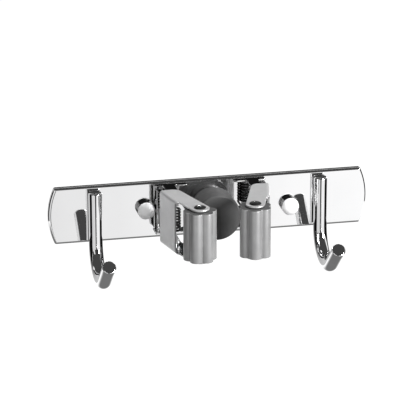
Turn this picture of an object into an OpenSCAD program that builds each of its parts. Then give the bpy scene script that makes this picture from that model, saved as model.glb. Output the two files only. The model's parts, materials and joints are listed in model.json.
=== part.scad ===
// Wall mop holder rack: a polished back plate with a sprung two-roller clip and two J hooks.
// X runs along the plate, Y runs into the wall, Z is up, and the origin is the middle of the wall face.

/* [Back plate] */
// Length of the plate over its bulged ends
plate_w = 230; // [200:1:300]
// Height of the plate
plate_h = 41.5; // [40:0.5:60]
// Stand-off of the plate's front face from the wall
plate_depth = 4; // [3.5:0.1:8]
// Thickness of the plate's sheet
plate_t = 1; // [0.6:0.1:1.4]
// Bulge of each arc end beyond its corners
plate_end_rise = 4.6; // [2:0.2:8]

/* [Hooks] */
// Distance of the left hook's rod from the left end of the plate
left_hook_inset = 32.6; // [22:0.1:42]
// Distance of the right hook's rod from the right end of the plate
right_hook_inset = 35; // [22:0.1:42]
// Diameter of the hook rods
rod_d = 9.8; // [6:0.2:11]
// Gap between the plate's top edge and the rod's top end
hook_top_gap = 3; // [1:0.5:8]
// Straight length of the rod above its bend
hook_drop = 36; // [30:0.5:60]
// Radius of the bend, at the middle of the rod
hook_bend_r = 21.5; // [12:0.5:26]
// Angle at which the hook's end rises forward
hook_end_rise = 42; // [10:1:80]
// Straight length of the hook's end
hook_end_l = 23.5; // [6:0.5:36]

/* [Clip bracket] */
// Height of the clip's middle above the plate's middle
clip_z = 1.5; // [-1:0.1:2]
// Height of the bracket
bracket_h = 36.2; // [35.6:0.1:37]
// Thickness of the bracket's sheet
bracket_t = 1.2; // [0.8:0.1:1.4]
// Reach of the bracket's side walls in front of the plate
wall_reach = 9.5; // [8:0.5:14]
// Distance of each side wall's outer face beyond its hinge axis
wall_out = 8.5; // [6:0.1:9]

/* [Arms] */
// Distance of each hinge axis from the plate's middle
hinge_x = 31; // [30:0.5:36]
// Distance of the hinge axes in front of the plate
hinge_reach = 25; // [24:0.5:32]
// Angle at which each arm leans in at rest
arm_lean = 13; // [8:0.5:15]
// Thickness of the arms' sheet
arm_t = 1.2; // [0.8:0.1:1.6]
// Distance from the hinge axis to the inner face of the web
web_gap = 5.6; // [5.4:0.1:6.5]
// Reach of the web behind the hinge axis
web_back = 7.7; // [6.5:0.1:8]
// Reach of the web in front of the hinge axis
web_front = 17.2; // [12:0.2:20]
// Distance of the roller axle in front of the hinge axis, along the web
axle_u = 37; // [34:0.5:42]
// Distance of the roller axle inwards from the hinge axis, across the web
axle_v = 3.3; // [2.5:0.1:4]
// Radius of the ear round the roller axle
tip_r = 6.6; // [6:0.1:9]

/* [Rollers] */
// Number of lobes on a roller
lobes = 6; // [5:1:8]
// Radius of a lobe
lobe_r = 4.7; // [4.4:0.1:5.2]
// Distance of the lobes' middles from the axle
lobe_pitch_r = 6.9; // [6.5:0.1:7.2]
// Diameter of the roller axles
axle_d = 4; // [3:0.1:4.6]
// Turn of the left roller at rest
left_turn = 15; // [0:1:60]
// Turn of the right roller at rest
right_turn = 0; // [0:1:60]

/* [Bumper] */
// Diameter of the bumper
bumper_d = 33; // [26:0.5:33.4]
// Distance of the bumper's face in front of the plate
bumper_reach = 30.5; // [26:0.5:33]
// Length of the bumper's wide part
bumper_body_l = 19.5; // [12:0.5:22]
// Diameter of the bumper's neck
bumper_neck_d = 26; // [18:0.5:26]

/* [Wall screws] */
// Place of the left wall screw on the free way from the bracket to the hook
left_screw_share = 0; // [0:0.01:1]
// Place of the right wall screw on the free way from the bracket to the hook
right_screw_share = 0.53; // [0:0.01:1]
// Height of the left screw above the plate's middle
left_screw_z = 1.5; // [-3:0.1:3]
// Height of the right screw, in the middle of its levelling slot, above the plate's middle
right_screw_z = -3; // [-3:0.1:3]
// Diameter of the screws' shank
screw_d = 4; // [3.5:0.1:4.2]
// Length of the screws below the head
screw_l = 30; // [25:1:40]
// Diameter of the screw caps
cap_d = 12.4; // [11.6:0.1:15]
// Height of the cap's dome
dome_h = 3.6; // [2.5:0.1:5]

/* [Hidden] */
$fn = 64;
// Overrun of every cut past the face it opens
cut = 1;
// Clearance between pieces that stay fixed together
fixed_gap = 0.02;
// Clearance round a shaft that turns
run_gap = 0.05;

// Hook rod: depth of the flat on which it is seated, and the bevel of its ends
hook_seat = 0.3;
rod_bevel = 0.5;
// The rising end laps the bend by a little, and is thicker by a hair so that the two join cleanly
end_lap = 0.5;
end_swell = 0.03;
rod_r = rod_d / 2;
left_hook_x = plate_w / 2 - left_hook_inset;
right_hook_x = plate_w / 2 - right_hook_inset;
hook_axis_y = -plate_depth - rod_r + hook_seat;
hook_bend_z = plate_h / 2 - hook_top_gap - hook_drop;

// Bracket tabs: rear strip, stem and round boss that carry the hinge pin
tab_strip = 6;
tab_w = 22.5;
stem_out = 3.2;
boss_gap = 0.4;
boss_r = web_gap - boss_gap;
// Toe of the tab, against which the closed arm rests
toe_l = 6.5;
stop_gap = 0.15;
// Notch that parts each side wall from the tabs
wall_notch = 1.2;
bracket_w = 2 * (hinge_x + wall_out);
wall_h = bracket_h - 2 * (bracket_t + wall_notch);

// Wall screws: clearance of the caps to the bracket and the hooks, and the places between them
cap_gap = 0.4;
screw_near = bracket_w / 2 + cap_d / 2 + cap_gap;
function screw_far(hook_x) = hook_x - rod_r - cap_d / 2 - cap_gap;
left_screw_x = screw_near + left_screw_share * (screw_far(left_hook_x) - screw_near);
right_screw_x = screw_near + right_screw_share * (screw_far(right_hook_x) - screw_near);

// Arms: gap over the tabs, outer and inner bend and rounding about the hinge
ear_gap = 0.15;
bend_r = 2;
inner_bend_r = 0.2;
ear_r = 6.3;
// The ears' straight edges lie a hair inside their tangents
edge_draw = 0.05;
web_out = web_gap + arm_t;
arm_h = bracket_h + 2 * (ear_gap + arm_t);
arm_inner_h = arm_h - 2 * arm_t;
hinge_pin_d = 4.5;

// Torsion springs: wire, whole curls, rise per curl and the two legs
wire_d = 1.5;
spring_curls = 7;
curl_rise = 2.1;
curl_rings = 8;
wire_sides = 6;
spring_gap = 0.15;
arm_leg_l = 6;
leg_shares = [0.5, 1];
anchor_gap = 0.2;
spring_r = web_gap - wire_d / 2 - spring_gap;
spring_sweep = 360 * spring_curls + 180 - arm_lean;
spring_h = curl_rise * spring_sweep / 360;
coil_steps = ceil(curl_rings * spring_sweep / 360);

// Rollers: bushed core, washers and end play
core_d = 8;
washer_t = 0.4;
washer_d = 9;
end_play = 0.1;
roller_h = arm_inner_h - 2 * (washer_t + end_play);

// Roller axles: domed head with a cross recess, and the peened lower end
axle_head_d = 8.2;
axle_head_h = 1.4;
axle_rim_h = 0.4;
axle_foot_d = 5.6;
axle_foot_h = 0.9;
cross_w = 1;
cross_l = 4.4;
cross_depth = 0.6;

// Bracket rivets: shank, heads and their distance from the hinge axis and the clip's middle
rivet_d = 3.2;
rivet_head_d = 6;
rivet_head_h = 1.2;
rivet_tail_d = 5.4;
rivet_tail_h = 0.9;
rivet_x = hinge_x;
rivet_z = 10;

// Bumper: rounded front edge, threaded insert and its screw
bumper_edge_r = 1.2;
insert_d = 8;
insert_l = 10;
bumper_screw_d = 4;
bumper_screw_grip = 8;
bumper_head_d = 8;
bumper_head_h = 2.2;
bumper_neck_l = bumper_reach - bracket_t - bumper_body_l;

// Wall screws and their caps: cup, groove, rim and plug
screw_head_d = 8;
screw_head_h = 2.4;
// Plain neck between the head and the full diameter, and its reach beyond the wall face
screw_neck_d = 3;
neck_reach = 0.5;
screw_point_l = 6;
screw_tip_d = 0.6;
screw_hole_gap = 0.3;
slot_l = 6;
cup_h = 4.2;
cup_floor = 1;
cup_wall = 1.3;
groove_h = 0.6;
groove_depth = 0.6;
cap_rim_h = 0.9;
plug_l = 0.6;
plug_gap = 0.1;
screw_neck_l = plate_depth + cup_floor + neck_reach;
hole_d = screw_d + 2 * screw_hole_gap;
cup_bore_d = cap_d - 2 * cup_wall;

// Places

// The right-hand copy of a left-hand piece
module right_hand() {
    mirror([1, 0, 0]) children();
}

// The middle of the clip, on the plate's front face
module at_clip() {
    translate([0, -plate_depth, clip_z]) children();
}

// The left hinge axis, with X forward along the web and Y inwards across it
module at_hinge() {
    at_clip() translate([-hinge_x, -hinge_reach, 0]) rotate([0, 0, arm_lean - 90]) children();
}

// The left roller axle
module at_axle() {
    at_hinge() translate([axle_u, axle_v, 0]) children();
}

// A wall screw's axis where it meets the plate's front face, with Z pointing out of the wall
module at_screw(x, z) {
    translate([x, -plate_depth, z]) rotate([90, 0, 0]) children();
}

// The middle of the clip with Z pointing out of the wall
module out_of_clip() {
    at_clip() rotate([90, 0, 0]) children();
}

// Shared shapes

// A dome of a given base diameter and height, standing on Z = 0
module dome(d, h) {
    ball_r = (d * d / 4 + h * h) / (2 * h);
    rotate_extrude() intersection() {
        translate([0, h - ball_r]) circle(r = ball_r);
        square([d / 2, h]);
    }
}

// A ring of a given outer diameter, bore and height, standing on Z = 0
module ring(d, bore, h) {
    difference() {
        cylinder(d = d, h = h);
        translate([0, 0, -cut]) cylinder(d = bore, h = h + 2 * cut);
    }
}

// A rod with a bevelled far end, standing on Z = 0
module bevelled_rod(r, l) {
    cylinder(r = r, h = l - rod_bevel);
    translate([0, 0, l - rod_bevel]) cylinder(r1 = r, r2 = r - rod_bevel, h = rod_bevel);
}

// Back plate

// Outline of the plate, drawn in by an inset
module plate_outline(inset) {
    w = plate_w - 2 * inset;
    h = plate_h - 2 * inset;
    arc_r = (plate_end_rise * plate_end_rise + plate_h * plate_h / 4) / (2 * plate_end_rise);
    difference() {
        square([w, h], center = true);
        for (side = [0, 1]) mirror([side, 0]) difference() {
            translate([plate_w / 2 - plate_end_rise - inset, -plate_h / 2]) {
                square([plate_end_rise + 2 * cut, plate_h]);
            }
            translate([plate_w / 2 - arc_r, 0]) circle(r = arc_r - inset, $fn = 256);
        }
    }
}

module back_plate() {
    color("gainsboro") difference() {
        rotate([90, 0, 0]) linear_extrude(plate_depth) plate_outline(0);
        translate([0, cut, 0]) rotate([90, 0, 0]) {
            linear_extrude(plate_depth - plate_t + cut) plate_outline(plate_t);
        }
        at_screw(-left_screw_x, left_screw_z) translate([0, 0, -plate_t - cut]) {
            cylinder(d = hole_d, h = plate_t + 2 * cut);
        }
        levelling_slot();
        out_of_clip() translate([0, 0, -plate_t - cut]) {
            rivet_places() cylinder(d = rivet_d + 2 * fixed_gap, h = plate_t + 2 * cut);
            cylinder(d = bumper_screw_d + 2 * fixed_gap, h = plate_t + 2 * cut);
        }
    }
}

// Upright slot under the right cap, in which the rack is levelled
module levelling_slot() {
    at_screw(right_screw_x, right_screw_z) translate([0, 0, -plate_t - cut]) {
        for (end = [-1, 1]) translate([0, end * slot_l / 2, 0]) cylinder(d = hole_d, h = plate_t + 2 * cut);
        translate([-hole_d / 2, -slot_l / 2, 0]) cube([hole_d, slot_l, plate_t + 2 * cut]);
    }
}

// Hooks

// A hook on the left: a straight rod, a bend forward, a rising end and a flat where it sits on the plate
module hook(hook_x) {
    difference() {
        translate([-hook_x, hook_axis_y - hook_bend_r, hook_bend_z]) rotate([0, -90, 0]) rotate([0, 0, 90]) {
            translate([hook_bend_r, 0, 0]) rotate([90, 0, 0]) bevelled_rod(rod_r, hook_drop);
            rotate_extrude(angle = 90 + hook_end_rise) translate([hook_bend_r, 0]) circle(r = rod_r);
            rotate([0, 0, 90 + hook_end_rise]) translate([hook_bend_r, -end_lap, 0]) rotate([-90, 0, 0]) {
                bevelled_rod(rod_r + end_swell, hook_end_l + end_lap);
            }
        }
        translate([-hook_x - rod_d, -plate_depth, -plate_h / 2]) cube([2 * rod_d, rod_d, plate_h + cut]);
    }
}

module left_hook() {
    color("silver") hook(left_hook_x);
}

module right_hook() {
    color("silver") right_hand() hook(right_hook_x);
}

// Clip bracket

// Outline of a left hinge tab, seen from above, from the middle of the clip
module tab_outline() {
    translate([-bracket_w / 2, -tab_strip]) square([tab_w, tab_strip]);
    translate([-hinge_x, -hinge_reach]) {
        translate([-stem_out, 0]) square([stem_out + boss_r - edge_draw, hinge_reach]);
        circle(r = boss_r);
        rotate(arm_lean - 90) translate([0, stop_gap - web_gap]) square([toe_l, web_gap - stop_gap]);
    }
}

// Left half of the bracket: base, side wall and both tabs
module half_bracket() {
    translate([-bracket_w / 2, -bracket_t, -bracket_h / 2]) cube([bracket_w / 2, bracket_t, bracket_h]);
    translate([-bracket_w / 2, -wall_reach, -wall_h / 2]) cube([bracket_t, wall_reach, wall_h]);
    for (level = [-bracket_h / 2, bracket_h / 2 - bracket_t]) {
        translate([0, 0, level]) linear_extrude(bracket_t) tab_outline();
    }
}

module clip_bracket() {
    color("lightgray") difference() {
        at_clip() {
            half_bracket();
            right_hand() half_bracket();
        }
        for (side = [0, 1]) mirror([side, 0, 0]) {
            at_hinge() cylinder(d = hinge_pin_d + 2 * run_gap, h = bracket_h + 2 * cut, center = true);
            out_of_clip() translate([spring_r - hinge_x, -spring_h / 2, -cut]) {
                cylinder(d = wire_d + 2 * anchor_gap, h = bracket_t + 2 * cut);
            }
        }
        out_of_clip() translate([0, 0, -cut]) {
            rivet_places() cylinder(d = rivet_d + 2 * fixed_gap, h = bracket_t + 2 * cut);
            cylinder(d = bumper_screw_d + 2 * fixed_gap, h = bracket_t + 2 * cut);
        }
    }
}

// The four rivet axes
module rivet_places() {
    for (side = [-1, 1], level = [-1, 1]) translate([side * rivet_x, level * rivet_z, 0]) children();
}

module bracket_rivets() {
    color("silver") out_of_clip() rivet_places() {
        translate([0, 0, -plate_t]) cylinder(d = rivet_d, h = plate_t + bracket_t);
        translate([0, 0, bracket_t]) dome(rivet_head_d, rivet_head_h);
        translate([0, 0, -plate_t - rivet_tail_h]) cylinder(d = rivet_tail_d, h = rivet_tail_h);
    }
}

// Arms

// Point of a circle at an angle
function on_circle(middle, r, angle) = middle + r * [cos(angle), sin(angle)];

// Outline of the arm from above: round about the hinge and the axle, and open on the web's side
module arm_outline() {
    axle = [axle_u, axle_v];
    lean = atan2(axle_v, axle_u) + acos((ear_r - tip_r) / norm(axle));
    circle(r = ear_r);
    translate(axle) circle(r = tip_r);
    polygon([
        [-web_back, -web_out - cut], [web_front, -web_out - cut], [web_front, bend_r - web_out],
        on_circle(axle, tip_r - edge_draw, -90), on_circle(axle, tip_r - edge_draw, lean),
        on_circle([0, 0], ear_r - edge_draw, lean), [edge_draw - ear_r, 0], [-web_back, -web_out]
    ]);
}

// Section across the arm, round at its two outer corners
module channel_section(half_h, back, r) {
    reach = axle_v + tip_r + web_out + cut;
    translate([r - back, -half_h]) square([reach, 2 * half_h]);
    translate([-back, r - half_h]) square([2 * r, 2 * (half_h - r)]);
    for (end = [-1, 1]) translate([r - back, end * (half_h - r)]) circle(r = r);
}

module arm() {
    reach = web_back + axle_u + tip_r + 2 * cut;
    at_hinge() difference() {
        intersection() {
            linear_extrude(arm_h + 2 * cut, center = true) arm_outline();
            translate([-web_back - cut, 0, 0]) rotate([90, 0, 90]) linear_extrude(reach) difference() {
                channel_section(arm_h / 2, web_out, bend_r);
                channel_section(arm_inner_h / 2, web_gap, inner_bend_r);
            }
        }
        cylinder(d = hinge_pin_d + 2 * fixed_gap, h = arm_h + 2 * cut, center = true);
        translate([axle_u, axle_v, 0]) {
            cylinder(d = axle_d + 2 * fixed_gap, h = arm_h + 2 * cut, center = true);
        }
    }
}

module left_arm() {
    color("darkgray") arm();
}

module right_arm() {
    color("darkgray") right_hand() arm();
}

// The pin is flush with the outer faces of both ears
module hinge_pin() {
    at_hinge() cylinder(d = hinge_pin_d, h = arm_h, center = true);
}

module left_hinge_pin() {
    color("silver") hinge_pin();
}

module right_hinge_pin() {
    color("silver") right_hand() hinge_pin();
}

// Springs

// Wire of the left spring, from its anchor in the bracket to the leg on the web
coil_start = [spring_r - hinge_x, -hinge_reach, -spring_h / 2];
coil_path = [
    for (step = [0 : coil_steps]) let (turn = -spring_sweep * step / coil_steps) [
        spring_r * cos(turn) - hinge_x, spring_r * sin(turn) - hinge_reach,
        spring_h * step / coil_steps - spring_h / 2
    ]
];
leg_heading = [-sin(arm_lean), cos(arm_lean), 0];
wire_path = concat(
    [
        [coil_start.x, -anchor_gap, coil_start.z],
        [coil_start.x, -anchor_gap - wire_d - bracket_t, coil_start.z]
    ],
    coil_path,
    [for (share = leg_shares) coil_path[coil_steps] + share * arm_leg_l * leg_heading]
);
wire_points = len(wire_path);

// Least gap between stretches of the wire that are half a curl or more apart
wire_gap = min([
    for (i = [0 : wire_points - 1], j = [i + curl_rings / 2 : wire_points - 1])
        norm(wire_path[i] - wire_path[j])
]) - wire_d;
echo(spring_gap_to_itself = wire_gap);

function unit(v) = v / norm(v);

// Six-sided ring square to the wire at one of its points
function wire_ring(i) =
    let (
        ahead = unit(wire_path[min(i + 1, wire_points - 1)] - wire_path[max(i - 1, 0)]),
        across = unit(cross(ahead, [0, 0, 1])),
        above = cross(across, ahead)
    )
    [
        for (k = [0 : wire_sides - 1]) let (turn = 360 * k / wire_sides)
        wire_path[i] + wire_d / 2 * (cos(turn) * across + sin(turn) * above)
    ];

module spring() {
    last = (wire_points - 1) * wire_sides;
    skin = [
        for (i = [0 : wire_points - 2], k = [0 : wire_sides - 1], half = [0, 1])
        let (a = i * wire_sides + k, b = i * wire_sides + (k + 1) % wire_sides)
        half == 0 ? [a, b, b + wire_sides] : [a, b + wire_sides, a + wire_sides]
    ];
    near_end = [for (k = [1 : wire_sides - 2]) [0, k + 1, k]];
    far_end = [for (k = [1 : wire_sides - 2]) [last, last + k, last + k + 1]];
    at_clip() polyhedron(
        points = [for (i = [0 : wire_points - 1]) each wire_ring(i)],
        faces = concat(skin, near_end, far_end)
    );
}

module left_spring() {
    color("slategray") spring();
}

module right_spring() {
    color("slategray") right_hand() spring();
}

// Rollers

module roller(turn) {
    at_axle() rotate([0, 0, turn]) translate([0, 0, -roller_h / 2]) linear_extrude(roller_h) difference() {
        union() {
            circle(r = lobe_pitch_r);
            for (i = [0 : lobes - 1]) rotate(360 * i / lobes) translate([lobe_pitch_r, 0]) circle(r = lobe_r);
        }
        circle(d = core_d + 2 * fixed_gap);
    }
}

module left_roller() {
    color("darkgray") roller(left_turn);
}

module right_roller() {
    color("darkgray") right_hand() roller(right_turn);
}

module roller_core() {
    at_axle() translate([0, 0, -roller_h / 2]) ring(core_d, axle_d + 2 * run_gap, roller_h);
}

module left_roller_core() {
    color("dimgray") roller_core();
}

module right_roller_core() {
    color("dimgray") right_hand() roller_core();
}

// Headed pin through both ears, with a cross recess above and a peened end below
module axle() {
    at_axle() difference() {
        union() {
            translate([0, 0, -arm_h / 2]) cylinder(d = axle_d, h = arm_h);
            translate([0, 0, arm_h / 2]) cylinder(d = axle_head_d, h = axle_rim_h);
            translate([0, 0, arm_h / 2 + axle_rim_h]) dome(axle_head_d, axle_head_h - axle_rim_h);
            translate([0, 0, -arm_h / 2]) mirror([0, 0, 1]) dome(axle_foot_d, axle_foot_h);
        }
        for (turn = [0, 90]) rotate([0, 0, turn]) {
            translate([-cross_l / 2, -cross_w / 2, arm_h / 2 + axle_head_h - cross_depth]) {
                cube([cross_l, cross_w, cross_depth + cut]);
            }
        }
    }
}

module left_axle() {
    color("gray") axle();
}

module right_axle() {
    color("gray") right_hand() axle();
}

// A washer on the inner face of each ear
module washers() {
    at_axle() for (level = [-arm_inner_h / 2, arm_inner_h / 2 - washer_t]) {
        translate([0, 0, level]) ring(washer_d, axle_d + 2 * run_gap, washer_t);
    }
}

module left_washers() {
    color("silver") washers();
}

module right_washers() {
    color("silver") right_hand() washers();
}

// Bumper

module bumper() {
    body_r = bumper_d / 2;
    l = bumper_neck_l + bumper_body_l;
    color("#4c4c4c") out_of_clip() translate([0, 0, bracket_t]) difference() {
        rotate_extrude() {
            square([bumper_neck_d / 2, l]);
            translate([0, bumper_neck_l]) square([body_r, bumper_body_l - bumper_edge_r]);
            square([body_r - bumper_edge_r, l]);
            translate([body_r - bumper_edge_r, l - bumper_edge_r]) circle(r = bumper_edge_r);
        }
        translate([0, 0, -cut]) cylinder(d = insert_d + 2 * fixed_gap, h = insert_l + cut);
    }
}

module bumper_insert() {
    color("goldenrod") out_of_clip() translate([0, 0, bracket_t]) {
        ring(insert_d, bumper_screw_d + 2 * fixed_gap, insert_l);
    }
}

// Screw from behind the plate, through plate and bracket into the insert
module bumper_screw() {
    color("silver") out_of_clip() translate([0, 0, -plate_t]) {
        cylinder(d = bumper_screw_d, h = plate_t + bracket_t + bumper_screw_grip);
        mirror([0, 0, 1]) dome(bumper_head_d, bumper_head_h);
    }
}

// Wall screws and caps

module wall_screw(x, z) {
    at_screw(x, z) translate([0, 0, cup_floor]) {
        cylinder(d = screw_head_d, h = screw_head_h);
        translate([0, 0, -screw_neck_l - cut]) cylinder(d = screw_neck_d, h = screw_neck_l + cut);
        translate([0, 0, screw_point_l - screw_l]) {
            cylinder(d = screw_d, h = screw_l - screw_point_l - screw_neck_l);
        }
        translate([0, 0, -screw_l]) cylinder(d1 = screw_tip_d, d2 = screw_d, h = screw_point_l);
    }
}

module left_wall_screw() {
    color("silver") wall_screw(-left_screw_x, left_screw_z);
}

module right_wall_screw() {
    color("silver") wall_screw(right_screw_x, right_screw_z);
}

// Cup under the screw's head
module cap_base(x, z) {
    at_screw(x, z) difference() {
        cylinder(d = cap_d, h = cup_h);
        translate([0, 0, cup_floor]) cylinder(d = cup_bore_d, h = cup_h);
        translate([0, 0, -cut]) cylinder(d = hole_d, h = cup_floor + 2 * cut);
    }
}

module left_cap_base() {
    color("gray") cap_base(-left_screw_x, left_screw_z);
}

module right_cap_base() {
    color("gray") cap_base(right_screw_x, right_screw_z);
}

// Domed cap with a groove below its rim and a plug in the cup
module cap(x, z) {
    at_screw(x, z) translate([0, 0, cup_h]) {
        translate([0, 0, -plug_l]) cylinder(d = cup_bore_d - 2 * plug_gap, h = plug_l);
        cylinder(d = cap_d - 2 * groove_depth, h = groove_h);
        translate([0, 0, groove_h]) cylinder(d = cap_d, h = cap_rim_h);
        translate([0, 0, groove_h + cap_rim_h]) dome(cap_d, dome_h);
    }
}

module left_cap() {
    color("white") cap(-left_screw_x, left_screw_z);
}

module right_cap() {
    color("white") cap(right_screw_x, right_screw_z);
}

back_plate();
left_hook();
right_hook();
clip_bracket();
bracket_rivets();
left_arm();
right_arm();
left_hinge_pin();
right_hinge_pin();
left_spring();
right_spring();
left_roller();
right_roller();
left_roller_core();
right_roller_core();
left_axle();
right_axle();
left_washers();
right_washers();
bumper();
bumper_insert();
bumper_screw();
left_wall_screw();
right_wall_screw();
left_cap_base();
right_cap_base();
left_cap();
right_cap();
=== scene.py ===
import json
import math

import bmesh
import bpy
from mathutils import Matrix, Vector

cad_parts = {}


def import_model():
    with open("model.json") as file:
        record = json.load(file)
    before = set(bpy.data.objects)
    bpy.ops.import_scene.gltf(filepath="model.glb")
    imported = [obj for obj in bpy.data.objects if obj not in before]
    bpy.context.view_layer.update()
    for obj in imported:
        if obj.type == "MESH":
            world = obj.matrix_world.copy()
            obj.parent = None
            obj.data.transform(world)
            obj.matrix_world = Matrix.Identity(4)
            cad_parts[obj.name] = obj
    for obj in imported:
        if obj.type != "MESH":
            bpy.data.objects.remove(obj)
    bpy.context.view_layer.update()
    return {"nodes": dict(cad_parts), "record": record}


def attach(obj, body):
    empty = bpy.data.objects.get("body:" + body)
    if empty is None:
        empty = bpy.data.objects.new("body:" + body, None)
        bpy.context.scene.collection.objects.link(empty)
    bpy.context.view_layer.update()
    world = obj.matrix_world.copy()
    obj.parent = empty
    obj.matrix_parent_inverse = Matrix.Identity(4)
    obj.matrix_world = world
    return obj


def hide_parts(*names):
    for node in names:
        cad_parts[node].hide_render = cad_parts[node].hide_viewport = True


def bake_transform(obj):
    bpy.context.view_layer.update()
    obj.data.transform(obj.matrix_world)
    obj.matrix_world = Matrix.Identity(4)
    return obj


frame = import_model()

# Sizes in millimetres, in the frame of the solids
MM = 0.001

PLATE_WIDTH = 230.0
PLATE_HEIGHT = 41.5
PLATE_DEPTH = 4.0
PLATE_SHEET = 1.0
PLATE_END_RISE = 4.6

LEFT_HOOK_X = -82.4
RIGHT_HOOK_X = 80.0
ROD_RADIUS = 4.9
HOOK_TOP_GAP = 3.0
HOOK_DROP = 36.0
HOOK_BEND_RADIUS = 21.5
HOOK_RISE = math.radians(42)
HOOK_END_LENGTH = 23.5
HOOK_SEAT = 0.3

CLIP_Z = 1.5
BRACKET_HEIGHT = 36.2
BRACKET_SHEET = 1.2
WALL_REACH = 9.5
WALL_OUT = 8.5
HINGE_X = 31.0
HINGE_REACH = 25.0
LEAN_DEGREES = 13
LEAN = math.radians(LEAN_DEGREES)

ARM_SHEET = 1.2
EAR_PLAY = 0.15
ARM_HEIGHT = BRACKET_HEIGHT + 2 * (EAR_PLAY + ARM_SHEET)
WEB_GAP = 5.6
WEB_OUT = WEB_GAP + ARM_SHEET
WEB_BACK = 7.7
WEB_FRONT = 17.2
AXLE_AHEAD = 37.0
AXLE_INWARDS = 3.3
TIP_RADIUS = 6.6
EAR_RADIUS = 6.3

LOBES = 6
LOBE_RADIUS = 4.7
LOBE_PITCH = 6.9
LEFT_TURN = math.radians(15)
RIGHT_TURN = 0.0
ROLLER_PLAY = 0.5
ROLLER_HEIGHT = ARM_HEIGHT - 2 * (ARM_SHEET + ROLLER_PLAY)

BUMPER_RADIUS = 16.5
BUMPER_REACH = 30.5
BUMPER_BODY = 19.5
BUMPER_NECK = 13.0

LEFT_SCREW = (-46.1, 1.5)
RIGHT_SCREW = (57.972, -3.0)
CAP_RADIUS = 6.2
CUP_HEIGHT = 4.2
CUP_FLOOR = 1.0
DOME_HEIGHT = 3.6

WIRE_RADIUS = 0.75
SPRING_RADIUS = 4.7
SPRING_PITCH = 2.1
SPRING_TURNS = 7
SPRING_DEGREES = 360 * SPRING_TURNS + 180 - LEAN_DEGREES
SPRING_SWEEP = math.radians(SPRING_DEGREES)
SPRING_HEIGHT = SPRING_PITCH * SPRING_DEGREES / 360

LEFT = -1
RIGHT = 1
SIDES = (("left", LEFT), ("right", RIGHT))


# Materials

# Blue over red and green in every grey
COOLNESS = 1.005
# Where most values of a noise lie
NOISE_LOW = 0.3
NOISE_HIGH = 0.7
CLOUD_DETAIL = 4.0
SMEAR_DETAIL = 3.0
GRAIN_DETAIL = 2.0
SMEARS_PER_BLOTCH = 2.7


class Nodes:
    """A small hand for node trees: makes nodes, sets their sockets and joins them."""

    def __init__(self, tree):
        self.tree = tree

    def add(self, kind, **settings):
        node = self.tree.nodes.new(kind)
        for key, value in settings.items():
            setattr(node, key, value)
        return node

    def put(self, node, socket, value):
        """Sets a socket to a value, or joins it to another node's output."""
        if isinstance(value, bpy.types.NodeSocket):
            self.tree.links.new(value, node.inputs[socket])
        else:
            node.inputs[socket].default_value = value

    def noise(self, vector, scale, detail):
        node = self.add("ShaderNodeTexNoise")
        self.put(node, "Vector", vector)
        self.put(node, "Scale", scale)
        self.put(node, "Detail", detail)
        return node.outputs["Fac"]

    def ramp(self, noise, low, high):
        """Spreads a noise between two values."""
        node = self.add("ShaderNodeMapRange")
        self.put(node, "Value", noise)
        self.put(node, "From Min", NOISE_LOW)
        self.put(node, "From Max", NOISE_HIGH)
        self.put(node, "To Min", low)
        self.put(node, "To Max", high)
        return node.outputs["Result"]

    def mix(self, share, first, second):
        node = self.add("ShaderNodeMix", data_type="RGBA")
        self.put(node, "Factor", share)
        self.put(node, "A", first)
        self.put(node, "B", second)
        return node.outputs["Result"]

    def mix_shaders(self, share, first, second):
        node = self.add("ShaderNodeMixShader")
        self.put(node, "Fac", share)
        self.put(node, 1, first.outputs[0])
        self.put(node, 2, second.outputs[0])
        return node

    def stretched(self, vector, scale):
        node = self.add("ShaderNodeMapping")
        self.put(node, "Vector", vector)
        self.put(node, "Scale", scale)
        return node.outputs["Vector"]

    def bump(self, height, strength, distance):
        node = self.add("ShaderNodeBump")
        self.put(node, "Height", height)
        self.put(node, "Strength", strength)
        self.put(node, "Distance", distance)
        return node.outputs["Normal"]

    def larger(self, first, second):
        node = self.add("ShaderNodeMath", operation="MAXIMUM")
        self.put(node, 0, first)
        self.put(node, 1, second)
        return node.outputs[0]

    def place(self):
        """Places on an object, in metres."""
        return self.add("ShaderNodeTexCoord").outputs["Object"]

    def tinted(self, kind, tone):
        """A shader of one even grey."""
        node = self.add(kind)
        self.put(node, "Color", even_grey(tone))
        return node

    def show(self, shader, output="ShaderNodeOutputMaterial"):
        self.put(self.add(output), "Surface", shader.outputs[0])


def new_material(name):
    """An empty material and the hand for its nodes."""
    material = bpy.data.materials.new(name)
    material.use_nodes = True
    material.node_tree.nodes.clear()
    return material, Nodes(material.node_tree)


def even_grey(tone):
    return (tone, tone, tone, 1)


def cool_grey(tone):
    return (tone, tone, tone * COOLNESS, 1)


def surface(name, tones, rough, metallic, blotch, grain, relief, depth, specular=0.5):
    """A surface with blotchy colour, smeared roughness and a fine grain in its relief.

    Blotches and grain are counted per metre, and the relief's depth is in metres.
    """
    material, nodes = new_material(name)
    shader = nodes.add("ShaderNodeBsdfPrincipled")
    place = nodes.place()
    cloud = nodes.noise(place, blotch, CLOUD_DETAIL)
    smear = nodes.noise(place, blotch * SMEARS_PER_BLOTCH, SMEAR_DETAIL)
    lines = nodes.noise(nodes.stretched(place, grain), 1.0, GRAIN_DETAIL)
    dark, light = tones
    colour = nodes.mix(nodes.ramp(cloud, 0.0, 1.0), cool_grey(dark), cool_grey(light))
    nodes.put(shader, "Base Color", colour)
    nodes.put(shader, "Roughness", nodes.ramp(smear, *rough))
    nodes.put(shader, "Normal", nodes.bump(lines, relief, depth))
    nodes.put(shader, "Metallic", metallic)
    nodes.put(shader, "Specular IOR Level", specular)
    nodes.show(shader)
    return material


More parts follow.
